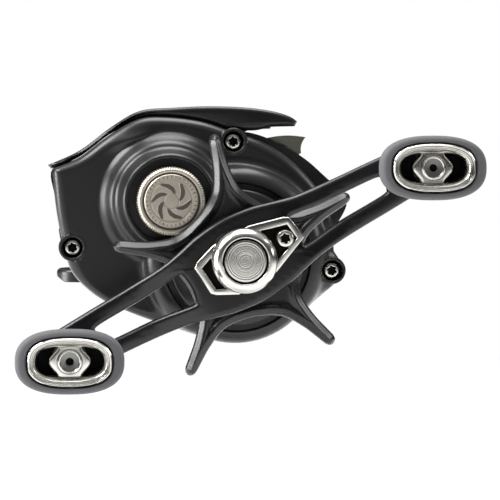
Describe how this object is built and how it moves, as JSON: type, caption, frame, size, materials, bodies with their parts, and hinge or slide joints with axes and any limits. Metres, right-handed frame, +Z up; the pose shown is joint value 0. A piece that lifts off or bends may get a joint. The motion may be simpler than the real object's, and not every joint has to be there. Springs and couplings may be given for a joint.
{
  "type": "baitcasting fishing reel",
  "caption": "Low-profile baitcasting fishing reel: geared crank with two paddle knobs, star drag, free spool under a thumb bar, sliding line guide and a rod foot.",
  "frame": {"origin": "middle of the reel foot's underside, on the plane of the two lands beside the saddle", "axes": "+Z up from the rod, -X the way the line leaves, -Y towards the handle"},
  "size_m": [0.1034, 0.0926, 0.0641],
  "materials": {
    "black_anodised": "satin black",
    "champagne_metal": "fine turned",
    "chrome": "polished",
    "grip_rubber": "matt",
    "spool_metal": "satin",
    "silver_metal": "satin",
    "brass": "machined",
    "dark_polymer": "moulded",
    "seal_rubber": "matt",
    "steel": "ground"
  },
  "bodies": {
    "frame": {"frame": "black_anodised", "gear_side_cover": "black_anodised", "palm_side_cover": "black_anodised", "top_hood": "black_anodised", "gear_cover_screws": "chrome", "yoke_posts": "steel", "yoke_springs": "steel", "cast_control_shim": "dark_polymer", "cast_control_o_ring": "seal_rubber", "brake_magnets": "steel", "palm_spool_bearing": "steel", "pinion_bearing": "steel", "drive_shaft_bearing": "steel", "one_way_bearing": "steel", "outer_shaft_bearing": "steel", "idler_post": "steel", "worm_bushes": "dark_polymer", "guide_rod": "steel"},
    "handle": {"drive_shaft": "steel", "clutch_sleeve": "steel", "drive_gear": "brass", "drag_washer": "dark_polymer", "drag_pressure_plate": "steel", "drag_spring_washers": "steel", "shaft_gear": "brass", "handle_arm": "black_anodised", "nut_retainer": "chrome", "retainer_screw": "chrome", "handle_nut": "chrome", "knob_post_a": "steel", "knob_screw_a": "steel", "knob_post_b": "steel", "knob_screw_b": "steel"},
    "knob_a": {"knob_grip_a": "grip_rubber", "knob_bearings_a": "steel", "knob_spacer_a": "dark_polymer", "knob_cap_a": "chrome"},
    "knob_b": {"knob_grip_b": "grip_rubber", "knob_bearings_b": "steel", "knob_spacer_b": "dark_polymer", "knob_cap_b": "chrome"},
    "star_drag": {"star_drag": "black_anodised", "star_nut": "brass"},
    "spool": {"spool": "spool_metal", "spool_shaft": "steel", "spool_cross_pin": "steel", "brake_rotor": "steel"},
    "pinion": {"pinion_gear": "brass"},
    "clutch_yoke": {"clutch_yoke": "dark_polymer"},
    "thumb_bar": {"thumb_bar": "silver_metal"},
    "cast_control_knob": {"cast_control_knob": "champagne_metal"},
    "brake_dial": {"brake_dial": "black_anodised"},
    "idler": {"idler_gear": "dark_polymer"},
    "worm": {"worm_shaft": "steel", "worm_gear": "dark_polymer"},
    "line_guide": {"line_guide_carrier": "dark_polymer", "line_guide_insert": "steel", "worm_pawl": "steel"}
  },
  "joints": [
    {"name": "handle_turn", "type": "hinge", "parent": "frame", "child": "handle", "pos_m": [0.0118, 0, 0.0066], "axis": [0, 1, 0], "continuous": true},
    {"name": "knob_a_turn", "type": "hinge", "parent": "handle", "child": "knob_a", "pos_m": [0.05161, -0.05, 0.02759], "axis": [0, 1, 0], "continuous": true},
    {"name": "knob_b_turn", "type": "hinge", "parent": "handle", "child": "knob_b", "pos_m": [-0.02801, -0.05, -0.01439], "axis": [0, 1, 0], "continuous": true},
    {"name": "star_drag_turn", "type": "hinge", "parent": "handle", "child": "star_drag", "pos_m": [0.0118, 0, 0.0066], "axis": [0, 1, 0], "range_deg": [-180, 180]},
    {"name": "spool_turn", "type": "hinge", "parent": "frame", "child": "spool", "pos_m": [-0.0041, 0, 0.02], "axis": [0, 1, 0], "continuous": true},
    {"name": "pinion_turn", "type": "hinge", "parent": "clutch_yoke", "child": "pinion", "pos_m": [-0.0041, 0, 0.02], "axis": [0, 1, 0], "continuous": true},
    {"name": "yoke_lift", "type": "slide", "parent": "frame", "child": "clutch_yoke", "axis": [0, -1, 0], "range_m": [0, 0.0007], "deforming": ["yoke_springs"]},
    {"name": "thumb_bar_press", "type": "slide", "parent": "frame", "child": "thumb_bar", "axis": [-0.3, 0, -0.9539], "range_m": [0, 0.003], "stiffness_N_per_m": 60, "springref_m": -0.001},
    {"name": "cast_control_turn", "type": "hinge", "parent": "frame", "child": "cast_control_knob", "pos_m": [-0.0041, 0, 0.02], "axis": [0, 1, 0], "range_deg": [-180, 180]},
    {"name": "brake_dial_turn", "type": "hinge", "parent": "frame", "child": "brake_dial", "pos_m": [-0.0041, 0, 0.02], "axis": [0, 1, 0], "range_deg": [0, 300]},
    {"name": "idler_turn", "type": "hinge", "parent": "frame", "child": "idler", "pos_m": [-0.01169, 0, 0.00738], "axis": [0, 1, 0], "continuous": true},
    {"name": "worm_turn", "type": "hinge", "parent": "frame", "child": "worm", "pos_m": [-0.0237, 0, 0.0155], "axis": [0, 1, 0], "continuous": true},
    {"name": "line_guide_slide", "type": "slide", "parent": "frame", "child": "line_guide", "axis": [0, -1, 0], "range_m": [-0.0085, 0.0085]}
  ],
  "couplings": [
    {"joint": "spool_turn", "follows": "handle_turn", "ratio": -7.1},
    {"joint": "pinion_turn", "follows": "handle_turn", "ratio": -7.1},
    {"joint": "idler_turn", "follows": "handle_turn", "ratio": -1.35},
    {"joint": "worm_turn", "follows": "handle_turn", "ratio": 3}
  ]
}
